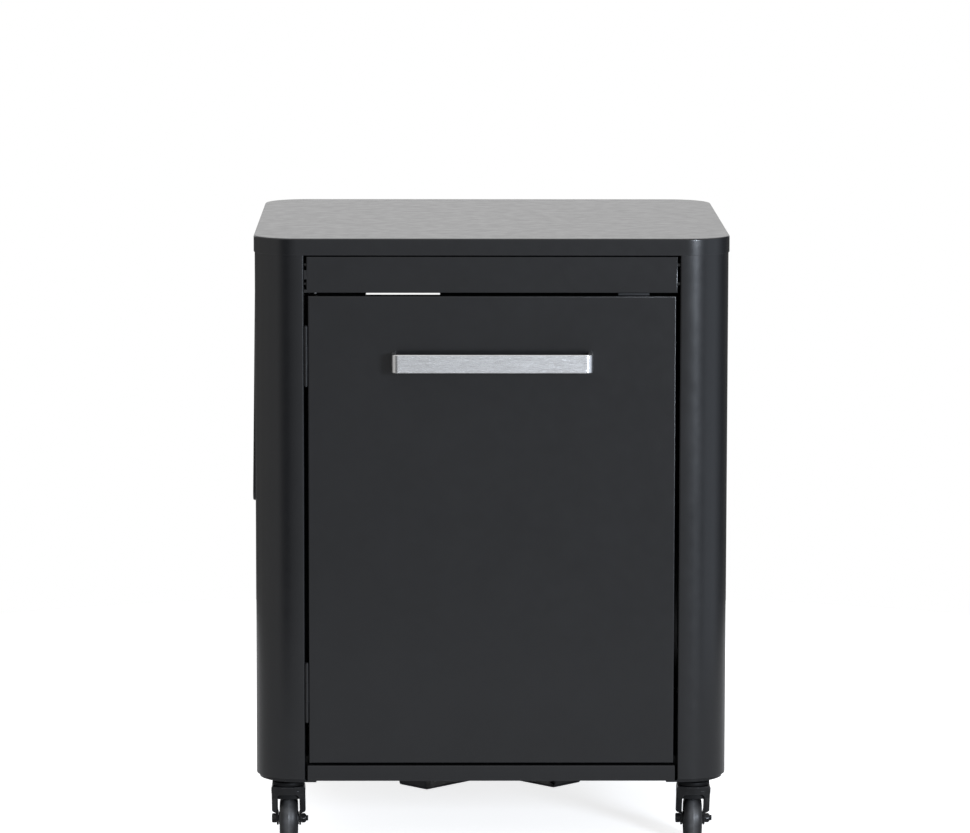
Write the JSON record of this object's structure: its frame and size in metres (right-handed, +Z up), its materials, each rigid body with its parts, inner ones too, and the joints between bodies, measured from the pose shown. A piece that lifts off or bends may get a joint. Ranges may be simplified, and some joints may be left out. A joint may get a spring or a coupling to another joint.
{
  "type": "grill cart",
  "caption": "Sheet metal grill cart: worktop with rounded corners, quarter-round corner columns, hinged door, bottle cradle, drop-down side shelf and swivel castors.",
  "frame": {"origin": "on the ground, under the middle of the cart's box, with the door shut and the shelf down", "axes": "+Z up, -Y towards the front with the door, -X towards the side with the folding shelf"},
  "size_m": [0.643, 0.6306, 0.8319],
  "materials": {
    "worktop": "anthracite powder coat, satin",
    "column": "anthracite powder coat, satin",
    "foot": "black paint, satin",
    "front_rail": "anthracite powder coat, satin",
    "rear_panel": "anthracite powder coat, satin",
    "side_panel": "anthracite powder coat, satin",
    "floor_panel": "anthracite powder coat, satin",
    "cradle_strap": "black paint, satin",
    "hinge_leaf": "anthracite powder coat, satin",
    "hinge_pin": "anthracite powder coat, satin",
    "door_catch": "moulded, matt",
    "shelf_bracket": "black paint, satin",
    "shelf_pin": "zinc plated, satin",
    "stay_bracket": "black paint, satin",
    "castor_stem": "black paint, satin",
    "door_panel": "anthracite powder coat, satin",
    "door_handle": "brushed along its length",
    "handle_screw": "zinc plated, satin",
    "catch_strike": "zinc plated, satin",
    "side_shelf": "anthracite powder coat, satin",
    "shelf_stay": "zinc plated, satin",
    "castor_fork": "black paint, satin",
    "castor_axle": "black finish, satin",
    "wheel_core": "moulded, matt",
    "wheel_tyre": "moulded, satin"
  },
  "bodies": {
    "cabinet": {"worktop": "worktop", "column_front_left": "column", "column_front_right": "column", "column_rear_left": "column", "column_rear_right": "column", "foot_front_left": "foot", "foot_front_right": "foot", "foot_rear_left": "foot", "foot_rear_right": "foot", "front_rail": "front_rail", "rear_panel": "rear_panel", "side_panel_left": "side_panel", "side_panel_right": "side_panel", "floor_panel": "floor_panel", "cradle_strap_lower": "cradle_strap", "cradle_strap_upper": "cradle_strap", "hinge_upper_column_leaf": "hinge_leaf", "hinge_upper_pin": "hinge_pin", "hinge_lower_column_leaf": "hinge_leaf", "hinge_lower_pin": "hinge_pin", "door_catch": "door_catch", "shelf_bracket_front": "shelf_bracket", "shelf_pin_front": "shelf_pin", "stay_bracket_front": "stay_bracket", "shelf_bracket_rear": "shelf_bracket", "shelf_pin_rear": "shelf_pin", "stay_bracket_rear": "stay_bracket", "castor_stem_front_left": "castor_stem", "castor_stem_front_right": "castor_stem", "castor_stem_rear_left": "castor_stem", "castor_stem_rear_right": "castor_stem"},
    "door": {"door_panel": "door_panel", "door_handle": "door_handle", "handle_screw_left": "handle_screw", "handle_screw_right": "handle_screw", "catch_strike": "catch_strike", "hinge_upper_door_leaf": "hinge_leaf", "hinge_lower_door_leaf": "hinge_leaf"},
    "side_shelf": {"side_shelf": "side_shelf"},
    "shelf_stay": {"shelf_stay": "shelf_stay"},
    "castor_front_left": {"castor_fork_front_left": "castor_fork", "castor_axle_front_left": "castor_axle"},
    "wheel_front_left": {"wheel_core_front_left": "wheel_core", "wheel_tyre_front_left": "wheel_tyre"},
    "castor_front_right": {"castor_fork_front_right": "castor_fork", "castor_axle_front_right": "castor_axle"},
    "wheel_front_right": {"wheel_core_front_right": "wheel_core", "wheel_tyre_front_right": "wheel_tyre"},
    "castor_rear_left": {"castor_fork_rear_left": "castor_fork", "castor_axle_rear_left": "castor_axle"},
    "wheel_rear_left": {"wheel_core_rear_left": "wheel_core", "wheel_tyre_rear_left": "wheel_tyre"},
    "castor_rear_right": {"castor_fork_rear_right": "castor_fork", "castor_axle_rear_right": "castor_axle"},
    "wheel_rear_right": {"wheel_core_rear_right": "wheel_core", "wheel_tyre_rear_right": "wheel_tyre"}
  },
  "joints": [
    {"name": "door_hinge", "type": "hinge", "parent": "cabinet", "child": "door", "pos_m": [-0.24727, -0.28185, 0.4377], "axis": [0, 0, -1], "range_deg": [0, 110]},
    {"name": "shelf_hinge", "type": "hinge", "parent": "cabinet", "child": "side_shelf", "pos_m": [-0.30722, 0.01535, 0.7949], "axis": [0, 1, 0], "range_deg": [0, 89.25]},
    {"name": "stay_hinge", "type": "hinge", "parent": "cabinet", "child": "shelf_stay", "pos_m": [-0.29452, 0.01535, 0.6749], "axis": [0, 1, 0], "range_deg": [0, 130]},
    {"name": "swivel_front_left", "type": "hinge", "parent": "cabinet", "child": "castor_front_left", "pos_m": [-0.27402, -0.24015, 0.078], "axis": [0, 0, 1], "continuous": true},
    {"name": "spin_front_left", "type": "hinge", "parent": "castor_front_left", "child": "wheel_front_left", "pos_m": [-0.27402, -0.21815, 0.0315], "axis": [1, 0, 0], "continuous": true},
    {"name": "swivel_front_right", "type": "hinge", "parent": "cabinet", "child": "castor_front_right", "pos_m": [0.27698, -0.24015, 0.078], "axis": [0, 0, 1], "continuous": true},
    {"name": "spin_front_right", "type": "hinge", "parent": "castor_front_right", "child": "wheel_front_right", "pos_m": [0.27698, -0.21815, 0.0315], "axis": [1, 0, 0], "continuous": true},
    {"name": "swivel_rear_left", "type": "hinge", "parent": "cabinet", "child": "castor_rear_left", "pos_m": [-0.27402, 0.27085, 0.078], "axis": [0, 0, 1], "continuous": true},
    {"name": "spin_rear_left", "type": "hinge", "parent": "castor_rear_left", "child": "wheel_rear_left", "pos_m": [-0.27402, 0.24885, 0.0315], "axis": [1, 0, 0], "continuous": true},
    {"name": "swivel_rear_right", "type": "hinge", "parent": "cabinet", "child": "castor_rear_right", "pos_m": [0.27698, 0.27085, 0.078], "axis": [0, 0, 1], "continuous": true},
    {"name": "spin_rear_right", "type": "hinge", "parent": "castor_rear_right", "child": "wheel_rear_right", "pos_m": [0.27698, 0.24885, 0.0315], "axis": [1, 0, 0], "continuous": true}
  ],
  "couplings": [
    {"joint": "stay_hinge", "follows": "shelf_hinge", "ratio": 1.4566}
  ]
}
